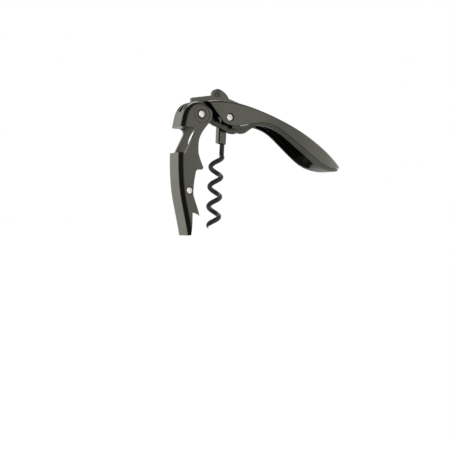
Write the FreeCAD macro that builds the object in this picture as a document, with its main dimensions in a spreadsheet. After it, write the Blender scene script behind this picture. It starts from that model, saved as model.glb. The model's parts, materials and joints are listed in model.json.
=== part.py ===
"""Folding waiter's corkscrew: two-step lever, worm and foil blade on one hollow handle.

Frame: origin on the centre of the main pivot, +X along the handle to its tail, +Z up, Y across
the tool.  Lengths are millimetres.  The tool stands as it does on a bottle: lever hanging down
from the pivot, worm beside it, blade folded along the back of the handle.
"""
import FreeCAD
import Part
import math
import os

V = FreeCAD.Vector
doc = FreeCAD.newDocument("waiters_corkscrew")

# Driving dimensions -----------------------------------------------------------------------

SIZES = {
    "lever_width": 13.0,        # outside the two cheeks of the lever
    "cheek": 1.5,               # thickness of the lever's sheet
    "back_corner": 2.4,         # outside bend of the sheet, back to cheek
    "head_radius": 6.3,         # round top of the lever
    "lobe_radius": 5.4,         # round end of the liners, between the cheeks
    "lobe_room": 5.9,           # clear radius inside the lever for that lobe
    "nose_slot": 2.5,           # slot in the top of the lever's nose for the blade
    "heel_room": 9.7,           # how far out from the pivot that slot is cut
    "handle_width": 13.0,       # handle at its front
    "tongue_in": 1.1,           # inner face of a liner's tongue, from the middle plane
    "liner_in": 2.4,            # where the tongue steps out to the liner's wide part
    "liner_out": 3.9,           # outer face of a liner
    "keel_half": 4.3,           # finger keel under the handle, goes between the cheeks
    "worm_slot_half": 2.5,
    "blade_thick": 2.0,
    "blade_slot": 2.5,
    "pivot_radius": 2.5,        # shank of the main rivet
    "hollow_radius": 1.7,       # bore through the main and worm rivets
    "play": 0.05,               # radial play of a turning fit
    "recess_radius": 4.7,       # round recess in each cheek around the main rivet
    "recess_depth": 0.5,
    "worm_pin_x": 17.3,
    "worm_pin_z": -0.6,
    "worm_pin_radius": 2.2,
    "eye_radius": 3.3,          # round top of the worm's bracket
    "bracket_half": 2.0,        # outside of the folded bracket, from the middle plane
    "bracket_sheet": 0.65,
    "wire": 2.6,                # diameter of the worm's wire
    "worm_outside": 8.5,        # outside diameter of the helix
    "pitch": 10.6,
    "turns": 3.7,
    "worm_tilt": 3.7,           # degrees from upright
    "claw_pin_x": -7.35,
    "claw_pin_z": -40.0,
    "claw_pin_radius": 2.1,
    "claw_bore_radius": 1.6,
    "claw_out": 4.8,            # outer face of a claw plate, from the middle plane
    "claw_sheet": 1.2,
    "parting_gap": 0.22,        # shadow line between shell and frame
    "flange": 1.3,
    "dowel_radius": 0.6,
    "dowel_length": 3.2,
    "spring_pin_x": 25.5,
    "spring_pin_z": 2.1,
    "spring_pin_radius": 0.8,
    "leaf_eye_radius": 1.5,     # rolled end of the back spring
    "claw_spring_width": 6.0,
    "spring_rivet_radius": 0.9,
    "washer_radius": 4.6,       # between liner and lever
}

sheet = doc.addObject("Spreadsheet::Sheet", "sizes")
for row, (alias, number) in enumerate(SIZES.items(), start=1):
    sheet.set("A%d" % row, alias)
    sheet.set("B%d" % row, str(number))
    sheet.setAlias("B%d" % row, alias)
doc.recompute()


def size(alias):
    """The number in the sheet's cell of this name."""
    return float(sheet.get(alias))


# Ways of making a solid -------------------------------------------------------------------

def bind(thing, **formulas):
    """Ties properties of an object to formulas over the sheet's cells."""
    for name, formula in formulas.items():
        thing.setExpression(name, formula)
    return thing


def side_sketch(name, start, *steps):
    """An outline in the XZ plane, drawn in (x, z).

    Each step is ("line", point, ...), ("arc", middle, end) or ("curve", point, ...); the
    outline closes itself with a straight run.
    """
    sketch = doc.addObject("Sketcher::SketchObject", name)
    sketch.Placement = FreeCAD.Placement(V(0, 0, 0), FreeCAD.Rotation(V(1, 0, 0), 90))
    draw(sketch, start, steps)
    return sketch


def plan_sketch(name, start, *steps):
    """An outline in the XY plane, drawn in (x, y)."""
    sketch = doc.addObject("Sketcher::SketchObject", name)
    draw(sketch, start, steps)
    return sketch


def draw(sketch, start, steps):
    """Adds the runs of an outline to a sketch and closes it."""
    here = V(start[0], start[1], 0)
    first = here
    for kind, *points in steps:
        points = [V(x, y, 0) for x, y in points]
        if kind == "line":
            for point in points:
                sketch.addGeometry(Part.LineSegment(here, point), False)
                here = point
        elif kind == "arc":
            sketch.addGeometry(Part.Arc(here, points[0], points[1]), False)
            here = points[1]
        else:
            curve = Part.BSplineCurve()
            curve.interpolate([here] + points)
            sketch.addGeometry(curve, False)
            here = points[-1]
    if (here - first).Length > 1e-6:
        sketch.addGeometry(Part.LineSegment(here, first), False)


def across(name, sketch, width):
    """A side outline thickened evenly about the middle plane; width is a formula."""
    pad = doc.addObject("Part::Extrusion", name)
    pad.Base = sketch
    pad.DirMode = "Normal"
    pad.Solid = True
    pad.Symmetric = True
    return bind(pad, LengthFwd=width)


def plate(name, sketch, inner, outer, far):
    """A side outline between two distances from the middle plane, on the near or far side."""
    pad = doc.addObject("Part::Extrusion", name)
    pad.Base = sketch
    pad.DirMode = "Custom"
    pad.Dir = V(0, 1 if far else -1, 0)
    pad.Solid = True
    bind(pad, LengthFwd="(%s) - (%s)" % (outer, inner))
    axis = ".Placement.Base.y"
    return bind(pad, **{axis: "(%s)" % inner if far else "-(%s)" % inner})


def upright(name, sketch, low, high):
    """A plan outline raised from one height to another; both are numbers."""
    pad = doc.addObject("Part::Extrusion", name)
    pad.Base = sketch
    pad.DirMode = "Custom"
    pad.Dir = V(0, 0, 1)
    pad.Solid = True
    pad.LengthFwd = high - low
    pad.Placement.Base.z = low
    return pad


def cross_pin(name, x, z, radius, half):
    """A round bar across the tool; all four are formulas."""
    bar = doc.addObject("Part::Cylinder", name)
    bar.Placement = FreeCAD.Placement(V(0, 0, 0), FreeCAD.Rotation(V(1, 0, 0), 90))
    bind(bar, Radius=radius, Height="2 * (%s)" % half)
    return bind(bar, **{".Placement.Base.x": x, ".Placement.Base.z": z,
                        ".Placement.Base.y": half})


def cross_ring(name, x, z, outside, bore, inner, outer, far):
    """A washer or ring about a cross axis, between two distances from the middle plane."""
    discs = []
    for part, radius in (("disc", outside), ("hole", bore)):
        disc = doc.addObject("Part::Cylinder", "%s_%s" % (name, part))
        disc.Placement = FreeCAD.Placement(V(0, 0, 0), FreeCAD.Rotation(V(1, 0, 0), 90))
        bind(disc, Radius=radius, Height="(%s) - (%s)" % (outer, inner))
        bind(disc, **{".Placement.Base.x": x, ".Placement.Base.z": z,
                      ".Placement.Base.y": outer if far else "-(%s)" % inner})
        discs.append(disc)
    return cut(name, discs[0], discs[1])


def join(name, *pieces):
    """Several shapes as one."""
    whole = doc.addObject("Part::MultiFuse", name)
    whole.Shapes = list(pieces)
    whole.Refine = True
    return whole


def cut(name, body, *tools):
    """A shape less one or more others."""
    tool = tools[0] if len(tools) == 1 else join(name + "_tools", *tools)
    result = doc.addObject("Part::Cut", name)
    result.Base = body
    result.Tool = tool
    result.Refine = True
    return result


def shared(name, first, second):
    """What two shapes have in common."""
    result = doc.addObject("Part::MultiCommon", name)
    result.Shapes = [first, second]
    result.Refine = True
    return result


def rounded(name, body, radius, chosen):
    """Rounds the edges that chosen(edge) picks."""
    doc.recompute()
    result = doc.addObject("Part::Fillet", name)
    result.Base = body
    edges = enumerate(body.Shape.Edges, start=1)
    result.Edges = [(number, radius, radius) for number, edge in edges if chosen(edge)]
    return result


def middle(edge):
    """The point halfway along an edge."""
    first, last = edge.ParameterRange
    return edge.valueAt((first + last) / 2)


SUBPARTS = {}


def keep(node, thing):
    """Names a finished sub-part."""
    thing.Label = node
    SUBPARTS[node] = thing


# Lever ------------------------------------------------------------------------------------
# One bent sheet: two cheeks and a back, with the cap lifter cut through the back under a
# ribbed nose, and a first step standing on the front edge of each cheek.

HALF = "sizes.lever_width / 2"
INSIDE = "sizes.lever_width / 2 - sizes.cheek"

head = size("head_radius")
lever_outline = side_sketch(
    "lever_outline", (4.9, -3.96),
    ("arc", (head * math.cos(0.4), head * math.sin(0.4)), (0, head)),
    ("line", (-3.4, 6.6)),
    ("curve", (-6.4, 5.2), (-9.2, 2.0), (-10.9, -2.8), (-12.1, -9.0), (-12.9, -18.0),
     (-12.95, -31.0), (-12.1, -40.5), (-9.8, -52.0), (-7.5, -63.3)),
    ("line", (-6.3, -63.1)),
    ("curve", (-5.6, -53.0), (-5.2, -40.5), (-3.6, -30.0)),
    ("line", (-2.7, -29.0)),
    ("curve", (-2.15, -18.0), (-1.35, -12.3), (0.7, -8.7), (4.9, -3.96)),
)
lever_block = across("lever_block", lever_outline, "sizes.lever_width")


def on_lever_back(edge):
    """The two long edges where the back meets the cheeks."""
    point = middle(edge)
    return abs(abs(point.y) - size("lever_width") / 2) < 0.01 and edge.Length > 50 and point.x < -8


lever_skin = rounded("lever_skin", lever_block, size("back_corner"), on_lever_back)

channel = across("channel", side_sketch(
    "channel_outline", (14, -7.1),
    ("line", (-6.7, -7.1), (-14, -6.9), (-14, -20.3), (-11.2, -20.3)),
    ("curve", (-11.4, -31.0), (-10.6, -40.3), (-8.3, -51.8), (-6.5, -60.0)),
    ("line", (-4.8, -61.5), (14, -61.5)),
), "2 * (%s)" % INSIDE)
lobe_space = cross_pin("lobe_space", "0", "0", "sizes.lobe_room", INSIDE)
front_space = across("front_space", side_sketch(
    "front_space_outline", (-5.0, -8.5),
    ("line", (14, -8.5), (14, 12), (-2.2, 12), (-2.2, 0), (-5.0, -2.6)),
), "2 * (%s)" % INSIDE)
lifter_cut = across("lifter_cut", side_sketch(
    "lifter_outline", (-6.7, -7.1),
    ("curve", (-4.8, -8.0), (-4.4, -10.2)),
    ("line", (-10.2, -21.2), (-11.2, -20.3), (-14, -20.3), (-14, -6.9)),
), "2 * sizes.lever_width")
nose_slot = cross_pin("nose_slot", "0", "0", "sizes.heel_room", "sizes.nose_slot / 2")

rib_outline = side_sketch(
    "rib_outline", (-3.0, 5.3),
    ("curve", (-5.8, 4.0), (-8.1, 2.0)),
    ("line", (-14, 2.0), (-10, 10), (-3, 10)),
)
RIB_FROM, RIB_TO = 2.5, 3.9     # one groove each side of the blade's slot
rib_grooves = [
    plate("rib_groove_%s" % side, rib_outline, "%g" % RIB_FROM, "%g" % RIB_TO, far)
    for side, far in (("near", False), ("far", True))
]
pivot_hole = cross_pin("pivot_hole", "0", "0", "sizes.pivot_radius + sizes.play",
                       "sizes.lever_width")
recesses = [
    plate("recess_%s" % side, side_sketch(
        "recess_outline_%s" % side, (size("recess_radius"), 0),
        ("arc", (0, size("recess_radius")), (-size("recess_radius"), 0)),
        ("arc", (0, -size("recess_radius")), (size("recess_radius"), 0)),
    ), HALF + " - sizes.recess_depth", HALF + " + 1", far)
    for side, far in (("near", False), ("far", True))
]
claw_hole = cross_pin("claw_hole", "sizes.claw_pin_x", "sizes.claw_pin_z",
                      "sizes.claw_pin_radius", "sizes.lever_width")
lever_cut = cut("lever_cut", lever_skin, channel, lobe_space, front_space, lifter_cut, nose_slot,
                pivot_hole, claw_hole, *rib_grooves, *recesses)

STEP_SET_IN = 0.8               # the first step is bent in from the cheek
step_outline = side_sketch(
    "step_outline", (-2.15, -18.0),
    ("curve", (-0.6, -23.4), (1.35, -27.8)),
    ("line", (0.55, -28.9), (-3.2, -29.0), (-3.4, -22.0)),
)
first_steps = [
    plate("first_step_%s" % side, step_outline, INSIDE + " - 0.4",
          HALF + " - %g" % STEP_SET_IN, far)
    for side, far in (("near", False), ("far", True))
]
keep("lever_channel", join("lever_whole", lever_cut, *first_steps))

for side, far in (("near", False), ("far", True)):
    keep("rivet_ring_" + side, cross_ring(
        "rivet_ring_" + side, "0", "0", "sizes.recess_radius - 0.1",
        "sizes.pivot_radius + sizes.play", HALF + " - sizes.recess_depth", HALF + " - 0.1", far))


def tube_rivet(node, x, z, radius, bore, half):
    """A hollow rivet across the tool; half is its reach from the middle plane."""
    shank = cross_pin(node + "_shank", x, z, radius, half)
    hole = cross_pin(node + "_hole", x, z, bore, half + " + 1")
    return cut(node + "_tube", shank, hole)


keep("claw_rivet", tube_rivet("claw_rivet", "sizes.claw_pin_x", "sizes.claw_pin_z",
                              "sizes.claw_pin_radius", "sizes.claw_bore_radius", HALF))

# Flat spring inside the back that holds the claw out, riveted to the back at its top end.
spring_outline = side_sketch(
    "claw_spring_outline", (-11.15, -25.0),
    ("line", (-11.2, -31.5)),
    ("curve", (-10.9, -34.6), (-10.1, -36.5), (-8.9, -36.95)),
    ("line", (-8.7, -36.5)),
    ("curve", (-9.7, -36.0), (-10.45, -34.3), (-10.65, -31.5)),
    ("line", (-10.6, -25.0)),
)
spring_leaf = across("claw_spring_leaf", spring_outline, "sizes.claw_spring_width")
spring_rivet_hole = doc.addObject("Part::Cylinder", "spring_rivet_hole")
spring_rivet_hole.Placement = FreeCAD.Placement(
    V(-14, 0, -27.2), FreeCAD.Rotation(V(0, 1, 0), 90))
bind(spring_rivet_hole, Radius="sizes.spring_rivet_radius")
spring_rivet_hole.Height = 5
keep("claw_spring", cut("claw_spring_cut", spring_leaf, spring_rivet_hole))

# Claw -------------------------------------------------------------------------------------
# The second step: a folded sheet on its own rivet, with a toothed lower edge.

CLAW_OUT = "sizes.claw_out"
CLAW_IN = "sizes.claw_out - sizes.claw_sheet"
pin_x, pin_z = size("claw_pin_x"), size("claw_pin_z")
CLAW_LOBE = 2.8
claw_outline = side_sketch(
    "claw_outline", (pin_x + CLAW_LOBE, pin_z),
    ("arc", (pin_x, pin_z + CLAW_LOBE), (pin_x - CLAW_LOBE, pin_z)),
    ("line", (-6.4, -47.5), (-5.0, -51.2), (-4.2, -50.6), (-3.6, -51.7), (-2.8, -51.1),
     (-2.2, -52.2), (-1.5, -51.7), (-0.65, -52.9)),
    ("curve", (-2.1, -48.0), (-4.2, -42.0), (pin_x + CLAW_LOBE, pin_z)),
)
claw_sides = [
    plate("claw_side_%s" % side, claw_outline, CLAW_IN, CLAW_OUT, far)
    for side, far in (("near", False), ("far", True))
]
claw_bridge = across("claw_bridge", side_sketch(
    "claw_bridge_outline", (-1.9, -49.6),
    ("curve", (-2.7, -46.6), (-4.1, -42.6)),
    ("line", (-5.3, -42.9)),
    ("curve", (-3.9, -47.0), (-3.0, -50.4)),
), "2 * (%s)" % CLAW_OUT)
claw_bore = cross_pin("claw_bore", "sizes.claw_pin_x", "sizes.claw_pin_z",
                      "sizes.claw_pin_radius + sizes.play", "sizes.lever_width")
keep("step_claw", cut("claw_cut", join("claw_body", *claw_sides, claw_bridge), claw_bore))

# Handle -----------------------------------------------------------------------------------
# An upper shell and a lower frame meet on one parting line; both follow one leaf-shaped plan.

front_half = size("handle_width") / 2
TAIL = (97.6, -24.8)            # point of the shell's tail, in side view


def leaf_plan(name, inset, start, stop):
    """The handle's plan: level at the front, waisted, full at the palm and pointed at the tail."""
    widths = [(28, front_half - 0.1), (42, 6.0), (56, 6.9), (69, 7.9), (80, 7.0), (90, 4.7)]
    side = [(x, y - inset) for x, y in widths if start < x < stop]
    if stop > 90:
        tip = [(95.8, 2.1), (TAIL[0], 0)]
        far_side = [(x, -y) for x, y in reversed([(start, front_half - inset)] + side + tip[:1])]
        return plan_sketch(name, (start, front_half - inset), ("curve", *side, *tip),
                           ("curve", *far_side))
    side += [(stop - 3.6, 5.9), (stop - 1.0, 4.6), (stop, 2.4)]
    mirror = [(x, -y) for x, y in reversed(side)]
    return plan_sketch(name, (start, side[0][1]), ("curve", *side), ("line", mirror[0]),
                       ("curve", *mirror[1:], (start, -side[0][1])))


PARTING = [(25.0, -4.4), (34.0, -2.5), (42.0, -2.0), (50.0, -4.6), (60.5, -11.4), (70.0, -17.7),
           (78.5, -22.8), (85.0, -25.0), (91.0, -25.3), (94.2, -25.2)]
BACK = [(9.0, 8.1), (14.0, 8.2), (20.0, 7.9), (27.5, 6.9), (43.0, 3.2), (59.2, -3.0),
        (76.0, -11.8), (88.0, -18.8), (94.0, -22.7)]
SHOULDER_FOOT = (18.5, -4.85)

shell_side = across("shell_side", side_sketch(
    "shell_outline", (3.9, 7.2),
    ("curve", *BACK, TAIL),
    ("curve", *reversed(PARTING), SHOULDER_FOOT),
    ("curve", (16.3, -4.5), (14.3, -3.9), (12.9, -3.1)),
    ("curve", (11.5, -1.1), (9.4, 1.0), (8.0, 2.6), (3.9, 7.2)),
), "sizes.handle_width * 2")
shell_plan = upright("shell_plan", leaf_plan("shell_plan_outline", 0, 2.0, TAIL[0]), -40, 20)
shell_body = shared("shell_body", shell_side, shell_plan)

CROWN_RADIUS = 1.6              # rounding along both upper edges of the shell


def on_shell_back(edge):
    """The long edges between the shell's back and its two sides."""
    point = middle(edge)
    return edge.Length > 60 and point.z > -6 and abs(point.y) > 2


shell_crowned = rounded("shell_crowned", shell_body, CROWN_RADIUS, on_shell_back)

CAVITY_START, CAVITY_END = 35.2, 78.5
SHELL_RIM = 1.3                 # side wall of the shell at the cavity
ROOF = [(43.0, 1.3), (51.0, -1.5), (59.2, -4.8), (68.0, -8.9), (78.5, -14.4)]
cavity_side = across("cavity_side", side_sketch(
    "cavity_outline", (CAVITY_START, 3.3),
    ("curve", *ROOF),
    ("line", (CAVITY_END, -40), (CAVITY_START, -40)),
), "sizes.handle_width * 2")
cavity_plan = upright("cavity_plan", leaf_plan("cavity_plan_outline", SHELL_RIM, CAVITY_START,
                                               CAVITY_END), -45, 20)
cavity = shared("cavity", cavity_side, cavity_plan)
liner_room = across("liner_room", side_sketch(
    "liner_room_outline", (2.0, 6.2),
    ("curve", (10.0, 6.5), (20.0, 6.4), (30.0, 4.7), (36.0, 3.1)),
    ("line", (36.0, -12), (2.0, -12)),
), "2 * sizes.liner_out + 0.04")
blade_room = across("blade_room", side_sketch(
    "blade_room_outline", (0, 14), ("line", (50, 14), (50, -3.2), (36, 1), (0, 4)),
), "sizes.blade_slot")


DOWEL_FEET = [(24, -5.2, -5.5), (24, 5.2, -5.5), (87, -2.2, -26.4), (87, 2.2, -26.4)]


def dowels(name):
    """Four upright pins across the parting line, two beside the keel and two in the tail."""
    pins = []
    for number, foot in enumerate(DOWEL_FEET):
        pin = doc.addObject("Part::Cylinder", "%s_%d" % (name, number))
        pin.Placement = FreeCAD.Placement(V(*foot), FreeCAD.Rotation())
        pins.append(bind(pin, Radius="sizes.dowel_radius", Height="sizes.dowel_length"))
    return join(name, *pins)


dowel_room = dowels("dowel_room")
worm_pin_hole = cross_pin("worm_pin_hole", "sizes.worm_pin_x", "sizes.worm_pin_z",
                          "sizes.worm_pin_radius", "sizes.handle_width")
keep("upper_shell", cut("shell_cut", shell_crowned, cavity, liner_room, blade_room, dowel_room,
                        worm_pin_hole))
keep("frame_dowels", dowels("dowels"))

gap = size("parting_gap")
RIM_FOOT = [(93.2, -26.5), (90.4, -27.2), (82.0, -26.6), (74.0, -23.7), (66.4, -18.7),
            (58.0, -12.6), (50.0, -7.2), (44.0, -4.8)]
flange = size("flange")
frame_side = across("frame_side", side_sketch(
    "frame_outline", (SHOULDER_FOOT[0], SHOULDER_FOOT[1] - gap),
    ("curve", *[(x, z - gap) for x, z in PARTING]),
    ("curve", *RIM_FOOT, (37.0, -3.8), (25.0, -4.5 - gap - flange),
     (SHOULDER_FOOT[0], SHOULDER_FOOT[1] - gap - flange)),
), "sizes.handle_width * 2")
frame_plan = upright("frame_plan", leaf_plan("frame_plan_outline", 0.15, 2.0, TAIL[0]),
                     -40, 20)
frame_rim = shared("frame_rim", frame_side, frame_plan)
# The keel is a finger hump; its near half runs on to the front, its far half stops at the worm.
keel_near = plate("keel_near", side_sketch(
    "keel_near_outline", (7.1, -2.9),
    ("line", (7.1, -3.4)),
    ("curve", (9.7, -4.9), (12.8, -6.5), (15.9, -7.8), (19.2, -8.2), (22.2, -8.1), (26.5, -8.7),
     (28.3, -8.1), (31.1, -6.3), (35.2, -4.75)),
    ("line", (38.0, -4.0), (38.0, -3.0), (25.0, -5.0), (18.6, -5.3)),
    ("curve", (14.3, -4.5), (10.5, -3.5), (7.1, -2.9)),
), "0", "sizes.keel_half", False)
keel_far = plate("keel_far", side_sketch(
    "keel_far_outline", (15.6, -4.75),
    ("curve", (17.5, -5.4), (19.6, -6.5), (21.7, -7.6), (25.1, -8.3), (27.8, -7.6), (31.1, -6.0),
     (35.2, -4.75)),
    ("line", (38.0, -4.0), (38.0, -3.0), (25.0, -5.0), (18.6, -5.3)),
), "0", "sizes.keel_half", True)
worm_slot = across("worm_slot", side_sketch(
    "worm_slot_outline", (6, -1), ("line", (36, -1), (36, -14), (6, -14)),
), "2 * sizes.worm_slot_half")
FRAME_LIP = 1.5                 # width of the frame's rim round the cavity
frame_opening = upright("frame_opening", leaf_plan("frame_opening_outline", FRAME_LIP - 0.15,
                                                   CAVITY_START, CAVITY_END - 0.8), -45, 20)
# Grip ribs run along the front of the keel, three to a half.
near_groove_outline = [
    (6.5, -2.9), ("curve", (9.7, -4.4), (12.8, -6.0), (15.9, -7.3), (19.2, -7.7), (22.2, -7.6)),
    ("line", (22.2, -10), (6.5, -10)),
]
far_groove_outline = [
    (14.0, -4.0), ("curve", (17.5, -4.9), (19.6, -6.0), (21.7, -7.1), (23.4, -7.6)),
    ("line", (23.4, -10), (14.0, -10)),
]
GROOVES = [(3.0, 3.4), (3.8, 4.2)]      # from the middle plane
grooves = []
for number, (inner, outer) in enumerate(GROOVES):
    for side, outline in (("near", near_groove_outline), ("far", far_groove_outline)):
        name = "keel_groove_%s_%d" % (side, number)
        sketch = side_sketch(name + "_outline", *outline)
        grooves.append(plate(name, sketch, "%g" % inner, "%g" % outer, side == "far"))
keep("lower_frame", cut("frame_cut", join("frame_joined", frame_rim, keel_near, keel_far),
                        worm_slot, frame_opening, dowel_room, *grooves))

# Liners: two steel plates inside the shell that carry the pivots.  In front each steps in to a
# narrow tongue that stands out of the shell between the lever's cheeks, the blade between both.
lobe = size("lobe_radius")
tongue_outline = side_sketch(
    "tongue_outline", (1.6, -5.157),
    ("arc", (-lobe, 0), (0, lobe)),
    ("curve", (4.0, 5.85), (10.0, 6.3), (12.3, 6.35)),
    ("line", (12.3, 1.0), (10.6, -2.9), (10.3, -3.7)),
    ("curve", (8.2, -3.2), (5.4, -3.6), (1.6, -5.157)),
)
wide_outline = side_sketch(
    "wide_outline", (7.8, 6.1),
    ("curve", (10.0, 6.3), (20.0, 6.2), (30.0, 4.5), (35.0, 3.1)),
    ("line", (35.0, -2.3)),
    ("curve", (30.0, -3.0), (25.0, -4.1), (18.5, -4.45), (15.2, -3.9)),
    ("line", (14.2, -3.0)),
)
for side, far in (("near", False), ("far", True)):
    tongue = plate("tongue_" + side, tongue_outline, "sizes.tongue_in", "sizes.liner_in", far)
    wide = plate("wide_" + side, wide_outline, "sizes.liner_in", "sizes.liner_out", far)
    blank = join("liner_blank_" + side, tongue, wide)
    holes = [
        cross_pin("liner_pivot_" + side, "0", "0", "sizes.pivot_radius", HALF),
        cross_pin("liner_worm_" + side, "sizes.worm_pin_x", "sizes.worm_pin_z",
                  "sizes.worm_pin_radius", HALF),
        cross_pin("liner_spring_" + side, "sizes.spring_pin_x", "sizes.spring_pin_z",
                  "sizes.spring_pin_radius", HALF),
    ]
    keep("liner_" + side, cut("liner_cut_" + side, blank, *holes))
    keep("pivot_washer_" + side, cross_ring(
        "pivot_washer_" + side, "0", "0", "sizes.washer_radius", "sizes.pivot_radius",
        "sizes.liner_in", INSIDE + " - 0.1", far))

keep("main_rivet", tube_rivet("main_rivet", "0", "0", "sizes.pivot_radius",
                              "sizes.hollow_radius", HALF))
keep("worm_rivet", tube_rivet("worm_rivet", "sizes.worm_pin_x", "sizes.worm_pin_z",
                              "sizes.worm_pin_radius", "sizes.hollow_radius",
                              "sizes.handle_width / 2 - 0.02"))

# Back spring: a leaf between the liners that rides on the round top of the worm's bracket.
leaf = across("back_leaf", side_sketch(
    "back_leaf_outline", (12.6, 2.9),
    ("line", (25.0, 2.9), (25.0, 3.6), (12.6, 3.6)),
), "2 * sizes.bracket_half")
leaf_eye = cross_pin("leaf_eye", "sizes.spring_pin_x", "sizes.spring_pin_z",
                     "sizes.leaf_eye_radius", "sizes.bracket_half")
leaf_hole = cross_pin("leaf_hole", "sizes.spring_pin_x", "sizes.spring_pin_z",
                      "sizes.spring_pin_radius", "sizes.bracket_half + 1")
keep("back_spring", cut("back_spring_cut", join("back_spring_body", leaf, leaf_eye), leaf_hole))
keep("spring_pin", cross_pin("spring_pin", "sizes.spring_pin_x", "sizes.spring_pin_z",
                             "sizes.spring_pin_radius", "sizes.liner_out"))

# Worm -------------------------------------------------------------------------------------
# A folded sheet bracket turns on the worm rivet and grips the straight end of the wire.

eye_x, eye_z = size("worm_pin_x"), size("worm_pin_z")
eye = size("eye_radius")
wire = size("wire") / 2
turn_radius = size("worm_outside") / 2 - wire
AXIS_TOP = V(12.9, 0, -20.7)    # top of the helix, on its axis
lean = math.tan(math.radians(size("worm_tilt")))


def wire_x(z):
    """Where the straight end of the wire is, at a height."""
    return AXIS_TOP.x + turn_radius + (z - AXIS_TOP.z) * lean


BRACKET_FOOT = -14.9
BEND = 0.7                      # outside radius of the bracket's two bends
EDGE_REACH = 1.1                # from the wire's axis to the open edges of the sheet
bracket_outline = side_sketch(
    "bracket_outline", (eye_x + eye, eye_z),
    ("arc", (eye_x, eye_z + eye), (eye_x - eye, eye_z)),
    ("line", (14.0, -3.6), (13.4, -4.4), (13.0, -13.7),
     (wire_x(BRACKET_FOOT) + EDGE_REACH, BRACKET_FOOT), (wire_x(-4.6) + EDGE_REACH, -4.6)),
)
bracket_block = across("bracket_block", bracket_outline, "2 * sizes.bracket_half")


def on_fold(edge):
    """The two long edges where the bracket's sheet is bent, away from the tail."""
    point = middle(edge)
    return edge.Length > 8 and point.x < 14 and abs(point.y) > 1


bracket_bent = rounded("bracket_bent", bracket_block, BEND, on_fold)
bracket_room = across("bracket_room", side_sketch(
    "bracket_room_outline", (8, 6),
    ("line", (24, 6), (24, -20), (13.6, -20), (14.1, -5.0), (8, -4.6)),
), "2 * (sizes.bracket_half - sizes.bracket_sheet)")
wire_room = doc.addObject("Part::Cylinder", "wire_room")
wire_room.Placement = FreeCAD.Placement(
    V(wire_x(-20), 0, -20), FreeCAD.Rotation(V(0, 1, 0), size("worm_tilt")))
bind(wire_room, Radius="sizes.bracket_half - sizes.bracket_sheet")
wire_room.Height = 15.4         # from below the foot to the eye
bracket_bore = cross_pin("bracket_bore", "sizes.worm_pin_x", "sizes.worm_pin_z",
                         "sizes.worm_pin_radius + sizes.play", "sizes.handle_width")
keep("worm_bracket", cut("bracket_cut", bracket_bent, bracket_room, wire_room, bracket_bore))

# The helix is made upright about its own axis, top end at zero, then tilted into place.
drop = size("pitch") * size("turns")
helix = Part.makeHelix(size("pitch"), drop, turn_radius)
helix.rotate(V(0, 0, 0), V(0, 0, 1), -360 * size("turns"))
helix.translate(V(0, 0, -drop))
foot = helix.Edges[0].valueAt(helix.Edges[0].FirstParameter)
along = helix.Edges[0].tangentAt(helix.Edges[0].FirstParameter)
section = Part.Wire(Part.Circle(foot, along, wire).toShape())
coil = Part.Wire(helix.Edges).makePipeShell([section], True, True)
SHANK = 13.0                    # straight wire above the helix
shank = Part.makeCylinder(wire, SHANK, V(turn_radius, 0, 0))
knuckle = Part.makeSphere(wire, V(turn_radius, 0, 0))
POINT = 3.0                     # length of the ground point
point = Part.makeCone(wire, 0.25, POINT, foot, along * -1)
worm = doc.addObject("Part::Feature", "worm")
worm.Shape = coil.fuse([shank, knuckle, point]).removeSplitter()
worm.Placement = FreeCAD.Placement(AXIS_TOP, FreeCAD.Rotation(V(0, 1, 0), size("worm_tilt")))
keep("worm", worm)

# Blade ------------------------------------------------------------------------------------
# Foil cutter: one plate on the main rivet with a thumb dome on its back and a serrated edge.

blade_outline = side_sketch(
    "blade_outline", (-3.0, 4.2),
    ("line", (-3.0, 8.6)),
    ("arc", (-2.8, 8.95), (-2.3, 9.1)),
    ("line", (9.7, 11.2)),
    ("curve", (10.4, 13.7), (12.9, 14.9), (16.4, 13.8), (19.0, 11.7), (20.0, 10.1)),
    ("curve", (30.0, 7.3), (40.0, 4.0), (48.6, 0.0)),
    ("curve", (47.4, -1.0), (38.0, 1.9), (30.0, 3.8), (22.0, 4.7)),
    ("line", (12.0, 4.7)),
    ("curve", (8.0, 3.4), (4.9, 1.7)),
    ("arc", (2.0, -4.8), (-5.0, -1.4)),
)
blade_blank = across("blade_blank", blade_outline, "sizes.blade_thick")
TOOTH_PITCH = 2.3
BITE_RADIUS = 0.9
serrations = []
for number in range(9):
    travel = number * TOOTH_PITCH      # the edge falls away along a shallow curve
    edge_x, edge_z = 26.0 + travel, 3.6 - 0.19 * travel - 0.0032 * travel ** 2
    serrations.append(cross_pin("serration_%d" % number, "%g" % edge_x, "%g" % edge_z,
                                "%g" % BITE_RADIUS, "sizes.blade_thick"))
blade_bore = cross_pin("blade_bore", "0", "0", "sizes.pivot_radius + sizes.play",
                       "sizes.handle_width")
keep("foil_blade", cut("blade_cut", blade_blank, blade_bore, *serrations))

# Check and write --------------------------------------------------------------------------

doc.recompute()
failed = [thing.Name for thing in doc.Objects
          if "Invalid" in thing.State or "Error" in thing.State]
if failed:
    raise SystemExit("objects that failed: " + ", ".join(failed))
for node, thing in SUBPARTS.items():
    shape = thing.Shape
    if shape.isNull() or not shape.isValid():
        raise SystemExit("bad shape: " + node)
os.makedirs("parts", exist_ok=True)
for node, thing in SUBPARTS.items():
    shape = thing.Shape
    box = shape.BoundBox
    print("%-22s solids %d volume %8.2f  x %.1f..%.1f  y %.1f..%.1f  z %.1f..%.1f" % (
        node, len(shape.Solids), shape.Volume, box.XMin, box.XMax, box.YMin, box.YMax,
        box.ZMin, box.ZMax))
    shape.exportStep("parts/%s.step" % node)
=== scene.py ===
import json
import math

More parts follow.
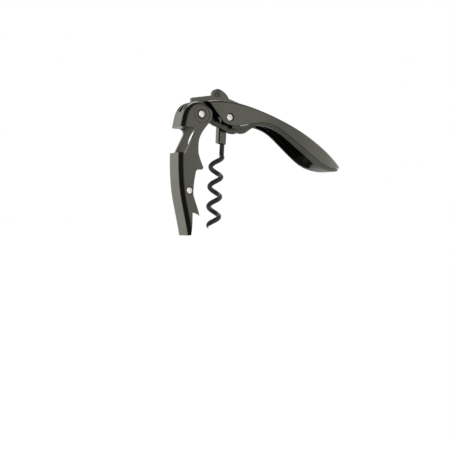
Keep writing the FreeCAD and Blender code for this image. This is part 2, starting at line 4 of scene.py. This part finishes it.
import bpy
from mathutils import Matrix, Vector

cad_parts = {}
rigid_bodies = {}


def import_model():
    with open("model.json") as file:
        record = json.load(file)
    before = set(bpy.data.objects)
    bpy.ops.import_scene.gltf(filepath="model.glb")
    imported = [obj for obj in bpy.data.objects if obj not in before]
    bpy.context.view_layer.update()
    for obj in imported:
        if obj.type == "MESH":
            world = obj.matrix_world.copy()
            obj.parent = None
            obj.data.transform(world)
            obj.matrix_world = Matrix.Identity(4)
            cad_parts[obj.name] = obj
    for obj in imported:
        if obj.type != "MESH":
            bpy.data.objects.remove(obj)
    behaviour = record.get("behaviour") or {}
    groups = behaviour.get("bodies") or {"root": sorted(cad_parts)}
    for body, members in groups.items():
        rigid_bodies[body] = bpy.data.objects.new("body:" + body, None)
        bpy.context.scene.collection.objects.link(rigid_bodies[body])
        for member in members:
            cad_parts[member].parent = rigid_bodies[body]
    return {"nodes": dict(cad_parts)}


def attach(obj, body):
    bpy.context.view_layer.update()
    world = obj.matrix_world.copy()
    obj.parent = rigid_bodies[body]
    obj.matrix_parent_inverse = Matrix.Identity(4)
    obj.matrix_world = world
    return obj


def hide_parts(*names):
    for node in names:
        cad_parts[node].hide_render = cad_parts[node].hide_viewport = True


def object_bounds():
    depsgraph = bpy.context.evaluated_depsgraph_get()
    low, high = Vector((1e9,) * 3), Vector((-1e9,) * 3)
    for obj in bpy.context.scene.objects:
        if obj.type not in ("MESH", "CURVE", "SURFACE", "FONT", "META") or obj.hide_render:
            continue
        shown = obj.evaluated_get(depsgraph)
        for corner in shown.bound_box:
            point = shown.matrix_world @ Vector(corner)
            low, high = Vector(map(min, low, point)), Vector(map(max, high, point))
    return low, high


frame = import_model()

cad_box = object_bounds()
nodes = frame["nodes"]
bpy.ops.object.select_all(action="DESELECT")
MM = 0.001


# Camera and studio.
# A small product table: a white sheet just under the tool, a bright backdrop behind it, a dark
# room on the viewer's side with one large panel to the right, and a soft box above.
CAMERA_PLACE = Vector((-215.7, -375.2, -54.7)) * MM
CAMERA_TURN = math.radians(32)
AWAY = (math.sin(CAMERA_TURN), math.cos(CAMERA_TURN), 0)
RIGHT = (math.cos(CAMERA_TURN), -math.sin(CAMERA_TURN), 0)
IMAGE_SIDE = 452                # pixels along a side of the render
FOCAL_LENGTH = 820              # in the same pixels
HORIZON_RISE = 7                # pixels from the render's middle up to the horizon
SENSOR = 36                     # millimetres

bpy.ops.object.camera_add(location=CAMERA_PLACE, rotation=(math.pi / 2, 0, -CAMERA_TURN))
camera = bpy.context.object
camera.name = "camera"
camera.data.sensor_width = SENSOR
camera.data.lens = SENSOR * FOCAL_LENGTH / IMAGE_SIDE
camera.data.shift_y = -HORIZON_RISE / IMAGE_SIDE
camera.data.clip_start = 0.01
bpy.context.scene.camera = camera
bpy.context.scene.view_settings.view_transform = "Standard"


def linear(code):
    """An sRGB hex colour as linear red, green and blue, with full alpha."""
    parts = [int(code[i:i + 2], 16) / 255 for i in (1, 3, 5)]
    return tuple(c / 12.92 if c <= 0.04045 else ((c + 0.055) / 1.055) ** 2.4 for c in parts) + (1,)


def blank_tree(owner):
    """Gives a world or a material an empty node tree."""
    owner.use_nodes = True
    owner.node_tree.nodes.clear()
    return owner.node_tree


def add_node(tree, kind, links=None, **settings):
    """Adds a shader node, sets its properties and socket values, and links its inputs."""
    made = tree.nodes.new(kind)
    for name, value in settings.items():
        setattr(made, name, value)
    for key, source in (links or {}).items():
        socket = made.inputs[key]
        if isinstance(source, bpy.types.NodeSocket):
            tree.links.new(source, socket)
        else:
            socket.default_value = source
    return made


def combine(tree, operation, first, second):
    """The result of one arithmetic step on two values."""
    return add_node(tree, "ShaderNodeMath", {0: first, 1: second}, operation=operation).outputs[0]


def along(tree, heading, axis):
    """How far a heading points along an axis, from -1 to 1."""
    return add_node(tree, "ShaderNodeVectorMath", {0: heading, 1: axis},
                    operation="DOT_PRODUCT").outputs["Value"]


def soft_step(tree, value, start, end, at_start, at_end):
    """Passes smoothly from one level to another while the value goes from start to end."""
    return add_node(tree, "ShaderNodeMapRange", {
        "Value": value, "From Min": start, "From Max": end, "To Min": at_start,
        "To Max": at_end}, interpolation_type="SMOOTHSTEP").outputs["Result"]


def room_level(tree, heading):
    """How bright the room is in a level direction: a backdrop away from the viewer, a panel right."""
    backdrop = soft_step(tree, along(tree, heading, AWAY), -0.05, 0.3, 0.0, 1.0)
    panel = soft_step(tree, along(tree, heading, RIGHT), 0.45, 0.95, 0.04, 0.55)
    return combine(tree, "MAXIMUM", backdrop, panel)


def soft_box(name, place, aim, width, height, watts):
    """A rectangular soft light that looks at a point."""
    bpy.ops.object.light_add(type="AREA", location=place)
    lamp = bpy.context.object
    lamp.name = name
    lamp.data.shape = "RECTANGLE"
    lamp.data.size, lamp.data.size_y = width, height
    lamp.data.energy = watts
    lamp.rotation_euler = (Vector(aim) - Vector(place)).to_track_quat("-Z", "Y").to_euler()


soft_box("soft_box_above", (0.1, 0.35, 0.95), (0.03, 0, -0.02), 0.9, 0.7, 4)

# The room: dimmer overhead than at the level of the table; the viewer sees it plain white.
world = bpy.data.worlds.new("studio_room")
bpy.context.scene.world = world
room = blank_tree(world)
direction = add_node(room, "ShaderNodeTexCoord").outputs["Generated"]
height = add_node(room, "ShaderNodeSeparateXYZ", {0: direction}).outputs["Z"]
overhead = soft_step(room, height, 0.35, 0.75, 1.0, 0.18)
bright = combine(room, "MULTIPLY", room_level(room, direction), overhead)
ray = add_node(room, "ShaderNodeLightPath")
seen = add_node(room, "ShaderNodeMix", {"Factor": ray.outputs["Is Camera Ray"], "A": bright,
                "B": 1.0})
glow = add_node(room, "ShaderNodeBackground", {"Color": (1, 1, 1, 1), "Strength": seen.outputs[0]})
add_node(room, "ShaderNodeOutputWorld", {"Surface": glow.outputs[0]})

# The table's white paper: it shows as white and keeps a faint shadow; the metal mirrors it dark
# close under the tool and light further off, and dark towards the viewer.
FLOOR_GAP = 0.4                 # millimetres between the paper and the lowest point
bpy.ops.mesh.primitive_plane_add(size=40, location=(0, 0, cad_box[0][2] - FLOOR_GAP * MM))
floor = bpy.context.object
floor.name = "table_top"
paper = bpy.data.materials.new("white_table_paper")
tree = blank_tree(paper)
incoming = add_node(tree, "ShaderNodeNewGeometry").outputs["Incoming"]
steep = add_node(tree, "ShaderNodeSeparateXYZ", {0: incoming}).outputs["Z"]
onward = add_node(tree, "ShaderNodeVectorMath", {0: incoming, "Scale": -1}, operation="SCALE")
lit = combine(tree, "MULTIPLY", soft_step(tree, steep, 0.22, 0.6, 0.9, 0.25),
              room_level(tree, onward.outputs["Vector"]))
ray = add_node(tree, "ShaderNodeLightPath")
mirrored = combine(tree, "MAXIMUM", ray.outputs["Is Glossy Ray"],
                   ray.outputs["Is Transmission Ray"])
level = add_node(tree, "ShaderNodeMix", {"Factor": mirrored, "A": 1.14, "B": lit})
share = combine(tree, "MULTIPLY", ray.outputs["Is Camera Ray"], 0.85)
share = combine(tree, "MAXIMUM", share, mirrored)
matt = add_node(tree, "ShaderNodeBsdfDiffuse", {"Color": linear("#f2f2f0")})
white = add_node(tree, "ShaderNodeEmission", {"Color": (1, 1, 1, 1), "Strength": level.outputs[0]})
mixed = add_node(tree, "ShaderNodeMixShader", {0: share, 1: matt.outputs[0], 2: white.outputs[0]})
add_node(tree, "ShaderNodeOutputMaterial", {"Surface": mixed.outputs[0]})
floor.data.materials.append(paper)


# Lever.
# One channel of 1.5 mm steel sheet, pressed to shape, blasted and coated dark by PVD. It is the
# bottle lever, carries the first step on its front edges and the cap lifter under its nose.

def coated_steel(name, light, dark, roughness, grain, patch):
    """Blasted steel under a thin coating; grain and patch are sizes in millimetres."""
    material = bpy.data.materials.new(name)
    tree = blank_tree(material)
    place = add_node(tree, "ShaderNodeTexCoord").outputs["Object"]
    patches = add_node(tree, "ShaderNodeTexNoise", {
        "Vector": place, "Scale": 1 / (patch * MM), "Detail": 2.0})
    colour = add_node(tree, "ShaderNodeMix", {
        "Factor": patches.outputs["Fac"], "A": linear(light), "B": linear(dark)}, data_type="RGBA")
    blast = add_node(tree, "ShaderNodeTexNoise", {
        "Vector": place, "Scale": 1 / (grain * MM), "Detail": 4.0, "Roughness": 0.65})
    rough = add_node(tree, "ShaderNodeMapRange", {
        "Value": blast.outputs["Fac"], "To Min": roughness - 0.06, "To Max": roughness + 0.06})
    bump = add_node(tree, "ShaderNodeBump", {
        "Height": blast.outputs["Fac"], "Strength": 0.25, "Distance": 0.012 * MM})
    surface = add_node(tree, "ShaderNodeBsdfPrincipled", {
        "Base Color": colour.outputs[2], "Metallic": 1.0, "Roughness": rough.outputs["Result"],
        "Normal": bump.outputs["Normal"]})
    add_node(tree, "ShaderNodeOutputMaterial", {"Surface": surface.outputs[0]})
    return material


# Gunmetal PVD over a fine blast: a dark, slightly green grey with a wide soft sheen and cloudy
# patches some millimetres wide. The grit is 0.1 mm; it is drawn at 0.4 mm to show at all.
gunmetal = coated_steel("gunmetal_pvd_blasted", "#8a8a80", "#7c7a71", 0.32, 0.4, 7)
# The same coating where handling has polished it, on the edges: barely lighter, a little sharper.
worn_gunmetal = coated_steel("gunmetal_pvd_worn_edge", "#8e8c83", "#807e75", 0.25, 0.4, 3)

SHARP = math.radians(35)        # edges that turn more than this are sharp


def round_edges(piece, width, segments, angle, finish):
    """Bevels the edges that turn more than the angle; finish is a material's number or -1."""
    bpy.ops.object.modifier_add(type="BEVEL")
    bevel = piece.modifiers[-1]
    bevel.width = width * MM
    bevel.segments = segments
    bevel.limit_method = "ANGLE"
    bevel.angle_limit = angle
    bevel.material = finish
    bpy.ops.object.modifier_apply(modifier=bevel.name)


def edged_copy(node, width, face_finish, edge_finish, rounding=0, rounded=None):
    """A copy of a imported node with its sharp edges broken, width in millimetres.

    The sharp edges whose ends rounded(place) accepts get the larger rounding.
    """
    bpy.ops.object.select_all(action="DESELECT")
    piece = nodes[node].copy()
    piece.data = nodes[node].data.copy()
    piece.parent = None
    for key in [key for key in piece.keys() if key.startswith("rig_")]:
        del piece[key]
    piece.name = node + "_finished"
    bpy.context.scene.collection.objects.link(piece)
    bpy.context.view_layer.objects.active = piece
    piece.select_set(True)
    piece.data.materials.clear()
    piece.data.materials.append(face_finish)
    piece.data.materials.append(edge_finish)
    bpy.ops.object.mode_set(mode="EDIT")
    bpy.ops.mesh.select_all(action="SELECT")
    bpy.ops.mesh.remove_doubles(threshold=0.002 * MM)
    bpy.ops.mesh.dissolve_limited(angle_limit=math.radians(1.0), delimit={"NORMAL"})
    if rounded:
        bpy.ops.mesh.select_all(action="DESELECT")
        bpy.ops.mesh.select_mode(type="EDGE")
        bpy.ops.mesh.edges_select_sharp(sharpness=SHARP)
        bpy.ops.object.mode_set(mode="OBJECT")
        points = piece.data.vertices
        for edge in piece.data.edges:
            edge.select = edge.select and all(rounded(points[end].co) for end in edge.vertices)
        bpy.ops.object.mode_set(mode="EDIT")
        bpy.ops.mesh.bevel(offset=rounding * MM, segments=5, affect="EDGES", clamp_overlap=True)
    bpy.ops.object.mode_set(mode="OBJECT")
    round_edges(piece, width, 2, SHARP, 1)
    bpy.ops.object.shade_smooth_by_angle(angle=math.radians(40))
    bpy.ops.object.modifier_add(type="WEIGHTED_NORMAL")
    piece.modifiers[-1].keep_sharp = True
    bpy.ops.object.modifier_apply(modifier=piece.modifiers[-1].name)
    return piece


def mount(piece, body, slot, *replaced):
    """Puts a finished piece on its body and hides the nodes it stands for; the slot is not used."""
    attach(piece, body)
    if replaced:
        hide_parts(*replaced)


lever = edged_copy("lever_channel", 0.16, gunmetal, worn_gunmetal)
mount(lever, "lever", "lever_metal", "lever_channel")


# Rivets.
# Three hollow steel rivets run right across the tool. Their ends are turned over flush and were
# coated with the tool; the bores were drilled last and are bright. A turned ring lies round the
# main rivet in each cheek of the lever.
bright_bore = bpy.data.materials.new("bright_drilled_steel")
tree = blank_tree(bright_bore)
place = add_node(tree, "ShaderNodeTexCoord").outputs["Object"]
# Reamer marks run round the bore; they are 0.05 mm apart and drawn 1.9 mm apart.
RING_RADIAN = 0.3               # millimetres of bore to one radian of the wave
WAVE_RADIANS = 20               # radians that the wave texture makes over one unit
rings = add_node(tree, "ShaderNodeTexWave", {
    "Vector": place, "Scale": 1 / (RING_RADIAN * MM * WAVE_RADIANS), "Distortion": 1.5},
    bands_direction="Y")
rough = add_node(tree, "ShaderNodeMapRange", {
    "Value": rings.outputs["Fac"], "To Min": 0.03, "To Max": 0.07})
surface = add_node(tree, "ShaderNodeBsdfPrincipled", {
    "Base Color": linear("#fbfaf7"), "Metallic": 1.0, "Roughness": rough.outputs["Result"]})
add_node(tree, "ShaderNodeOutputMaterial", {"Surface": surface.outputs[0]})


def hollow_rivet(name, x, z, radius, bore, half):
    """A tube across the tool with rounded mouths; lengths in millimetres."""
    bpy.ops.object.select_all(action="DESELECT")
    bpy.ops.mesh.primitive_cylinder_add(
        vertices=64, radius=radius * MM, depth=2 * half * MM, end_fill_type="NGON",
        location=(x * MM, 0, z * MM), rotation=(math.pi / 2, 0, 0))
    tube = bpy.context.object
    tube.name = name
    bpy.ops.object.transform_apply(location=True, rotation=True, scale=True)
    bpy.ops.object.mode_set(mode="EDIT")
    bpy.ops.mesh.select_mode(type="FACE")
    bpy.ops.mesh.select_all(action="DESELECT")
    bpy.ops.object.mode_set(mode="OBJECT")
    for face in tube.data.polygons:
        face.select = abs(face.normal.y) > 0.9
    bpy.ops.object.mode_set(mode="EDIT")
    bpy.ops.mesh.inset(thickness=(radius - bore) * MM, use_individual=True)
    bpy.ops.mesh.bridge_edge_loops()
    bpy.ops.object.mode_set(mode="OBJECT")
    for material in (gunmetal, bright_bore):
        tube.data.materials.append(material)
    for face in tube.data.polygons:
        outward = Vector((face.center.x - x * MM, 0, face.center.z - z * MM))
        inner = outward.length < (bore + 0.05) * MM
        face.material_index = 1 if inner else 0
    round_edges(tube, 0.28, 3, math.radians(30), -1)
    bpy.ops.object.shade_smooth_by_angle(angle=math.radians(50))
    return tube


main_rivet = hollow_rivet("main_rivet_tube", 0, 0, 2.5, 1.7, 6.5)
mount(main_rivet, "handle", "rivet_steel", "main_rivet")
worm_rivet = hollow_rivet("worm_rivet_tube", 17.3, -0.6, 2.2, 1.7, 6.48)
mount(worm_rivet, "handle", "rivet_steel", "worm_rivet")
claw_rivet = hollow_rivet("claw_rivet_tube", -7.35, -40.0, 2.1, 1.6, 6.5)
mount(claw_rivet, "lever", "rivet_steel", "claw_rivet")

for side in ("near", "far"):
    ring = edged_copy("rivet_ring_" + side, 0.15, gunmetal, worn_gunmetal)
    mount(ring, "lever", "rivet_steel", "rivet_ring_" + side)


# Claw.
# The second step, a sheet folded to a narrow channel on the lower rivet, its front edge toothed
# to hold on the bottle's lip; pressed from 1.2 mm sheet and coated with the lever.
claw = edged_copy("step_claw", 0.15, gunmetal, worn_gunmetal)
mount(claw, "claw", "lever_metal", "step_claw")


# Handle shell and frame.
# The upper shell is cast and follows a leaf shape; the lower frame closes it with a rim round
# the hollow for the worm and a finger keel under the front. Both were blasted and coated.
SHOULDER_ROUNDING = 0.6         # millimetres, on the shell's front edges beside the lever
shell = edged_copy("upper_shell", 0.15, gunmetal, worn_gunmetal, SHOULDER_ROUNDING,
                   lambda spot: spot.x < 18 * MM and abs(spot.y) > 6.3 * MM and spot.z < 6.8 * MM)
mount(shell, "handle", "handle_metal", "upper_shell")
# The frame keeps the rougher skin of its casting under the coating: a little darker and duller.
frame_finish = coated_steel("gunmetal_pvd_cast_frame", "#77776f", "#67665f", 0.34, 0.4, 5)
under_frame = edged_copy("lower_frame", 0.3, frame_finish, frame_finish)
mount(under_frame, "handle", "frame_metal", "lower_frame")


# Liners and washers.
# Steel plates inside the shell, coated but not blasted: smoother and a little darker. Between
# them and the lever's cheeks lies a washer on each side.

def dress(node, finish):
    """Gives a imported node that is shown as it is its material."""
    nodes[node].data.materials.clear()
    nodes[node].data.materials.append(finish)


liner_finish = coated_steel("gunmetal_pvd_rolled_sheet", "#6c6b65", "#5f5e59", 0.27, 1.2, 9)
for side in ("near", "far"):
    liner = edged_copy("liner_" + side, 0.12, liner_finish, liner_finish)
    mount(liner, "handle", "liner_steel", "liner_" + side)
    dress("pivot_washer_" + side, liner_finish)


# Springs, pins and dowels.
# Tempered spring steel and plain steel pins, left a bare satin grey; they sit inside and hardly
# show. The back spring bears on the worm's bracket, the claw spring holds the claw out.
spring_steel = coated_steel("tempered_spring_steel", "#8d8f92", "#7d7a78", 0.25, 0.8, 4)
for name in ("back_spring", "claw_spring", "spring_pin", "frame_dowels"):
    dress(name, spring_steel)


# Worm.
# A right-hand helix of steel wire with a straight shank, its end ground to a point, under a
# black low-friction coating.
WIRE = 2.6                      # millimetres, as all lengths here
TURN_RADIUS = 2.95
PITCH = 10.6
TURNS = 3.7
TILT = math.radians(3.7)
AXIS_TOP = Vector((12.9, 0, -20.7))
SHANK = 12.5
KNEE = math.radians(15)         # turn given to the bend under the shank
STEPS = 24                      # places along one turn
POINT_STEPS = 6                 # places over which the wire is ground to its point
POINT_SHARE = 0.08              # thickness left at the point

ptfe = bpy.data.materials.new("black_ptfe_coating")
tree = blank_tree(ptfe)
place = add_node(tree, "ShaderNodeTexCoord").outputs["Object"]
# A baked fluoropolymer coat, near black; its colour is painted lighter, to dark grey, with painted
# sheen in grey blotches of 0.5 to 1 mm, and its waxy sheen breaks up in the same blotches.
blotch_and_painted_sheen = add_node(tree, "ShaderNodeTexNoise", {
    "Vector": place, "Scale": 1 / (0.8 * MM), "Detail": 3.0, "Roughness": 0.6}).outputs["Fac"]
# Painted sheen: the coat's colour is lifted from near black to greys that stand in for highlights.
colour = add_node(tree, "ShaderNodeMix", {
    "Factor": blotch_and_painted_sheen, "A": linear("#45464a"), "B": linear("#77787c")}, data_type="RGBA")
rough = add_node(tree, "ShaderNodeMapRange", {
    "Value": blotch_and_painted_sheen, "From Min": 0.3, "From Max": 0.7, "To Min": 0.22, "To Max": 0.42})
bump = add_node(tree, "ShaderNodeBump", {"Height": blotch_and_painted_sheen, "Strength": 0.6, "Distance": 0.12 * MM})
surface = add_node(tree, "ShaderNodeBsdfPrincipled", {
    "Base Color": colour.outputs[2], "Roughness": rough.outputs["Result"],
    "Normal": bump.outputs["Normal"], "IOR": 1.45})
add_node(tree, "ShaderNodeOutputMaterial", {"Surface": surface.outputs[0]})

# The wire's middle line, from the point up, round an upright axis.
line = []
last_step = int(TURNS * STEPS)
for step in range(last_step + 1):
    turn = -KNEE - (2 * math.pi * TURNS - KNEE) * step / last_step
    line.insert(0, Vector((TURN_RADIUS * math.cos(turn), TURN_RADIUS * math.sin(turn),
                           PITCH * turn / (2 * math.pi))))
last = line[-1]
for share, rise in ((0.45, 0.35), (0.8, 1.0), (1.0, 2.0)):
    line.append(Vector((last.x + (TURN_RADIUS - last.x) * share, last.y * (1 - share),
                        last.z + rise)))
line += [Vector((TURN_RADIUS, 0, 4.0)), Vector((TURN_RADIUS, 0, SHANK))]

bpy.ops.object.select_all(action="DESELECT")
bpy.ops.curve.primitive_nurbs_path_add()
wire = bpy.context.object
wire.name = "worm_wire"
wire.data.dimensions = "3D"
wire.data.bevel_depth = WIRE / 2 * MM
wire.data.bevel_resolution = 5
wire.data.use_fill_caps = True
path = wire.data.splines[0]
path.points.add(len(line) - len(path.points))
for number, (point, spot) in enumerate(zip(path.points, line)):
    spot = Vector((spot.x * math.cos(TILT) + spot.z * math.sin(TILT), spot.y,
                   spot.z * math.cos(TILT) - spot.x * math.sin(TILT))) + AXIS_TOP
    point.co = (*(spot * MM), 1)
    point.radius = min(1.0, POINT_SHARE + (1 - POINT_SHARE) * number / POINT_STEPS)
path.order_u = 4
path.use_endpoint_u = True
path.resolution_u = 3
bpy.ops.object.convert(target="MESH")
bpy.ops.object.shade_smooth_by_angle(angle=math.radians(60))
wire.data.materials.clear()
wire.data.materials.append(ptfe)
mount(wire, "worm", "worm_coating", "worm")


# Bracket.
# A strip of 0.65 mm steel sheet folded round the worm's shank and pierced for the worm's rivet,
# blasted and coated like the handle.
bracket = edged_copy("worm_bracket", 0.12, gunmetal, worn_gunmetal)
mount(bracket, "worm", "bracket_metal", "worm_bracket")


# Foil blade.
# A 2 mm steel plate on the main rivet, coated like the handle, its edge serrated for foil and its
# thumb dome knurled on both sides with small pyramids.
blade = edged_copy("foil_blade", 0.12, gunmetal, worn_gunmetal)
mount(blade, "blade", "blade_steel", "foil_blade")

KNURL_PITCH = 0.75              # millimetres along a row, as all lengths here
KNURL_RISE = 0.62               # from row to row
KNURL_START = (10.6, 10.9)
KNURL_RADIUS = 0.34
KNURL_DEPTH = 0.22
KNURL_FACE = 1.1                # middle of a pyramid, from the tool's middle plane
DOME = (14.4, 10.6)
DOME_RADIUS = 3.75              # the knurl stays this far inside the dome
DOME_END = 14.6
bpy.ops.object.select_all(action="DESELECT")
for row in range(6):
    for column in range(6):
        x = KNURL_START[0] + KNURL_PITCH * (column + 0.5 * (row % 2))
        z = KNURL_START[1] + KNURL_RISE * row
        if (x - DOME[0]) ** 2 + (z - DOME[1]) ** 2 > DOME_RADIUS ** 2 or x > DOME_END:
            continue
        for side in (-1, 1):
            bpy.ops.mesh.primitive_cone_add(
                vertices=4, radius1=KNURL_RADIUS * MM, depth=KNURL_DEPTH * MM,
                end_fill_type="NOTHING", location=(x * MM, side * KNURL_FACE * MM, z * MM),
                rotation=(-side * math.pi / 2, 0, 0))
            bpy.context.object.name = "knurl_point"
knurls = [thing for thing in bpy.context.scene.objects if thing.name.startswith("knurl_point")]
for thing in knurls:
    thing.select_set(True)
bpy.context.view_layer.objects.active = knurls[0]
bpy.ops.object.join()
knurl = bpy.context.object
knurl.name = "thumb_knurl"
bpy.ops.object.transform_apply(location=True, rotation=True, scale=True)
knurl.data.materials.append(worn_gunmetal)
mount(knurl, "blade", "blade_steel")
